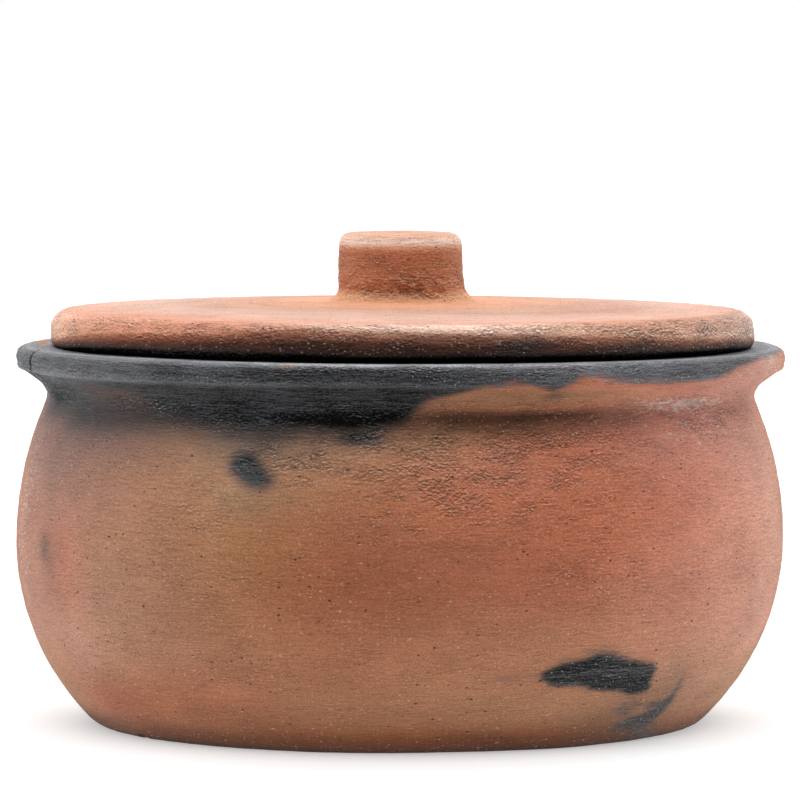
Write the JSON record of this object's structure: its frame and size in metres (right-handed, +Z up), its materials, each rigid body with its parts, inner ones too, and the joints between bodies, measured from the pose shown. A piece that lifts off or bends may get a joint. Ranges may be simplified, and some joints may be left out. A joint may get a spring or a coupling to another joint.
{
  "type": "lidded clay roaster",
  "caption": "Round unglazed clay roaster with a bellied body, a flared rolled lip and a wide shelf inside it that carries a loose domed slab lid with a stub knob.",
  "frame": {"origin": "centre of the pot's flat foot, on the plane it stands on", "axes": "+Z up along the axis of turning, from the foot through the knob; the front of the picture faces -Y"},
  "size_m": [0.2799, 0.28, 0.1781],
  "materials": {
    "pot_clay": "unglazed fired earthenware, matte, with soot marks from the kiln",
    "lid_clay": "unglazed fired earthenware, matte, with fine turning marks"
  },
  "bodies": {
    "root": {"pot": "pot_clay", "lid": "lid_clay"}
  },
  "joints": []
}
